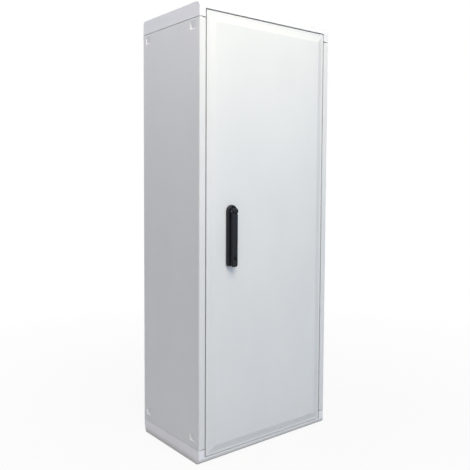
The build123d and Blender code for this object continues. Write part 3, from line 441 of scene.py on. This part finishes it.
def foam_bead():
    """Foam bead of the door: a D-shaped profile, flat on its seat and round to the rear, carried round a
    rectangle whose corners are quarter circles. The profile's height is a power of the sine of its angle, its
    half width a power of the cosine."""
    inset = SEAL_INSET + SEAL_BEND
    right, low, high = DOOR_HALF - inset, DOOR_LOW + inset, DOOR_HIGH - inset
    corners = np.array([(right, high), (-right, high), (-right, low), (right, low)])
    quarter = np.linspace(0.0, math.pi / 2, SEAL_BEND_STEPS)
    angle = (quarter + np.arange(len(corners))[:, None] * math.pi / 2).ravel()
    centre = np.repeat(corners, len(quarter), axis=0)
    phase = np.linspace(0.0, 2 * math.pi, SEAL_PROFILE_STEPS, endpoint=False)
    across = SEAL_HALF * np.sign(np.cos(phase)) * np.abs(np.cos(phase)) ** SEAL_WIDTH_POWER
    height = (SEAL_REAR - SEAL_SEAT) * np.clip(np.sin(phase), 0.0, 1.0) ** SEAL_HEIGHT_POWER
    reach = SEAL_BEND + across
    x = centre[:, :1] + np.cos(angle)[:, None] * reach
    z = centre[:, 1:] + np.sin(angle)[:, None] * reach
    y = np.broadcast_to(SEAL_SEAT + height, x.shape)
    points = np.stack([x, y, z], axis=-1).reshape(-1, 3)
    outward = grid_faces(len(angle), len(phase), looped=True)[:, [0, 3, 2, 1]]
    piece = surface("foam_bead", points, outward.tolist(), "door", "gasket")
    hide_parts("door_gasket")


def cross_slot(across, along):
    """Depth of one slot of the cross recess, from 0 outside to 1 inside, with sloping flanks and ends."""
    flank = np.clip((CROSS_HALF - np.abs(across)) / CROSS_FLANK, 0, 1)
    runout = np.clip((CROSS_REACH - np.abs(along)) / CROSS_RUNOUT, 0, 1)
    return flank * runout


def screw_heads(name, spots, facing, size, body, node):
    """Pan heads with a cross recess: on a polar grid the height is the root of one less the fourth power of
    the distance from the middle, and drops inside two crossed slots. The rim runs down past the seat, where a
    flat underside closes it. Each head is turned a little further than the last."""
    radius, height = size
    rings = HEAD_RINGS[:, None]
    ray = np.linspace(0.0, 2 * math.pi, HEAD_RAYS, endpoint=False)
    px, py = rings * np.cos(ray), rings * np.sin(ray)
    dome = np.sqrt(np.clip(1.0 - rings ** 4, 0.0, 1.0))
    level = dome * HEAD_DOME + HEAD_RIM - CROSS_DEPTH * np.maximum(cross_slot(px, py), cross_slot(py, px))
    level[-1] = -HEAD_SUNK
    turn = HEAD_TURN * np.arange(len(spots))[:, None, None]
    u = (px * np.cos(turn) - py * np.sin(turn)) * radius
    v = (px * np.sin(turn) + py * np.cos(turn)) * radius
    side = np.array((1, 0, 0) if facing == UPWARDS else (0, 0, 1))
    grid = (np.array(spots)[:, None, None, :] + u[..., None] * side + v[..., None] * np.cross(facing, side)
            + (level * height)[..., None] * np.array(facing))
    top = grid[:, 0].mean(axis=1, keepdims=True)
    points = np.concatenate([grid.reshape(len(spots), -1, 3), top], axis=1)
    pole, step = px.size, np.arange(HEAD_RAYS)
    quads = grid_faces(len(rings), HEAD_RAYS)
    fan = np.stack([np.full(HEAD_RAYS, pole), step, (step + 1) % HEAD_RAYS], axis=1)
    underside = pole - 1 - step[None, :]
    first = (pole + 1) * np.arange(len(spots))[:, None, None]
    faces = []
    for kind in (quads, fan, underside):
        faces += (first + kind).reshape(-1, kind.shape[1]).tolist()
    piece = surface(name, points.reshape(-1, 3), faces, body, "steel")
    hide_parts(node)


foam_bead()
screw_heads("rear_heads", [(i * REAR_SCREW_X, REAR_FACE, z) for i in SIDES for z in REAR_SCREW_ROWS],
            REARWARDS, SMALL_HEAD, "cabinet", "rear_screws")
screw_heads("plate_heads", [(i * PLATE_SCREW_X, PLATE_FACE, z) for i in SIDES for z in PLATE_SCREW_ROWS],
            FORWARDS, LARGE_HEAD, "cabinet", "plate_screws")
screw_heads("case_heads",
            [(HANDLE_X + i * CASE_SCREW_X, CASE_FACE, HUB_Z + j * CASE_SCREW_Z)
             for i in SIDES for j in SIDES],
            REARWARDS, SMALL_HEAD, "door", "case_screws")
screw_heads("guide_heads",
            [(x + i * GUIDE_SCREW_X, GUIDE_FACE, z) for x, z in zip(RODS_X, GUIDE_ROWS) for i in SIDES],
            REARWARDS, SMALL_HEAD, "door", "guide_screws")
screw_heads("escutcheon_heads",
            [(HANDLE_X, ESCUTCHEON_SEAT, HUB_Z - drop) for drop in ESCUTCHEON_SCREW_DROPS],
            REARWARDS, LARGE_HEAD, "door", "escutcheon_screws")
screw_heads("strike_heads",
            [(x + i * STRIKE_SCREW_X, STRIKE_FACE, z) for x, z in zip(RODS_X, STRIKE_ROWS) for i in SIDES]
            + [(LEFT_STRIKE_X, LEFT_STRIKE_FACE, HUB_Z + j * LEFT_STRIKE_SCREW_Z) for j in SIDES],
            REARWARDS, SMALL_HEAD, "cabinet", "strike_screws")
screw_heads("floor_heads",
            [(i * FLOOR_SCREW_X, FLOOR_SCREW_MIDDLE + j * FLOOR_SCREW_Y, FLOOR_PLATE_TOP)
             for i in SIDES for j in SIDES],
            UPWARDS, SMALL_HEAD, "cabinet", "floor_screws")


# Studio

def pale_floor():
    """Pale floor: a flat disc, slightly clouded, that fades to the white of the backdrop. Its points are the
    cosine and the sine of each ray times the radius of each ring."""
    material, tree, shader, place = start_finish("pale_floor")
    colour = blend_colour(tree, grain(tree, place, spots=3.0, detail=4.0), *FLOOR_TONES)
    dress(tree, shader, {"Base Color": colour, "Roughness": 0.8})
    distance = reckon(tree, "VectorMath", "LENGTH", place).outputs["Value"]
    fade = spread(tree, distance, FLOOR_FADE, (FLOOR_GLOW, 1.0))
    seen = reckon(tree, "Math", "MULTIPLY", fade, put(tree, "LightPath").outputs["Is Camera Ray"])
    glow = put(tree, "Emission", Color=WHITE, Strength=1.0)
    mix_shaders(tree, seen.outputs[0], shader, glow, "Material Output")
    rings = FLOOR_RINGS[:, None]
    ray = np.linspace(0.0, 2 * math.pi, FLOOR_RAYS, endpoint=False)
    x, y = rings * np.cos(ray), rings * np.sin(ray)
    points = np.stack([x, y, np.full_like(x, FLOOR_LEVEL)], axis=-1).reshape(-1, 3)
    faces = grid_faces(len(rings), FLOOR_RAYS).tolist() + [list(range(FLOOR_RAYS))]
    floor = smooth_mesh("pale_floor", points, faces, material)


def white_room():
    """World that lights softly from all round and looks white behind the cabinet."""
    world = bpy.data.worlds.new("white_room")
    world.use_nodes = True
    tree = world.node_tree
    room = tree.nodes["Background"]
    dress(tree, room, {"Color": ROOM_COLOUR, "Strength": ROOM_STRENGTH})
    backdrop = put(tree, "Background", Color=WHITE, Strength=1.0)
    mix_shaders(tree, put(tree, "LightPath").outputs["Is Camera Ray"], room, backdrop, "World Output")
    bpy.context.scene.world = world


def soft_lamp(name, place, target, size, power, colour=(1.0, 1.0, 1.0)):
    """Rectangular soft lamp aimed at a point."""
    light = bpy.data.lights.new(name, "AREA")
    light.shape = "RECTANGLE"
    light.size, light.size_y = size
    light.energy, light.color = power, colour
    lamp = bpy.data.objects.new(name, light)
    aim = (Vector(target) - Vector(place)).to_track_quat("-Z", "Y")
    lamp.matrix_world = Matrix.Translation(place) @ aim.to_matrix().to_4x4()
    bpy.context.scene.collection.objects.link(lamp)


def photograph_camera():
    """Camera at the photograph's angle: turned to its heading, dipped a little and rolled upright."""
    lens = bpy.data.cameras.new("camera")
    lens.sensor_width = SENSOR
    lens.lens = SENSOR * LENS_PIXELS / FRAME_PIXELS
    lens.shift_y = SHIFT_PIXELS / FRAME_PIXELS
    camera = bpy.data.objects.new("camera", lens)
    camera.matrix_world = (Matrix.Translation(CAMERA_PLACE)
                           @ Matrix.Rotation(math.radians(CAMERA_HEADING), 4, "Z")
                           @ Matrix.Rotation(math.radians(90.0 - CAMERA_DIP), 4, "X")
                           @ Matrix.Rotation(math.radians(CAMERA_ROLL), 4, "Z"))
    bpy.context.scene.collection.objects.link(camera)
    bpy.context.scene.camera = camera


pale_floor()
white_room()
soft_lamp("key", place=(-0.45, -1.62, 2.5), target=(0.0, -0.1, 1.25), size=(1.7, 1.5), power=55.0,
          colour=(1.0, 0.925, 0.785))
soft_lamp("side", place=(-1.9, 1.2, 2.2), target=(-0.2, 0.0, 0.9), size=(1.6, 1.6), power=24.5,
          colour=(0.95, 0.92, 1.0))
soft_lamp("front", place=(0.9, -3.0, 1.3), target=(0.0, -0.1, 0.8), size=(1.2, 1.6), power=14.0,
          colour=(0.50, 0.77, 1.0))
soft_lamp("low", place=(-0.3, -2.8, 0.70), target=(0.0, -0.1, 0.45), size=(1.4, 0.7), power=7.5,
          colour=(0.55, 0.64, 1.0))
soft_lamp("rear", place=(0.9, 2.7, 2.2), target=(0.0, 0.1, 0.7), size=(1.6, 1.6), power=16.0)
soft_lamp("overhead", place=(0.0, 0.2, 3.6), target=(0.0, 0.0, 0.0), size=(2.6, 2.6), power=6.0)
photograph_camera()
bpy.context.scene.view_settings.view_transform = "Standard"
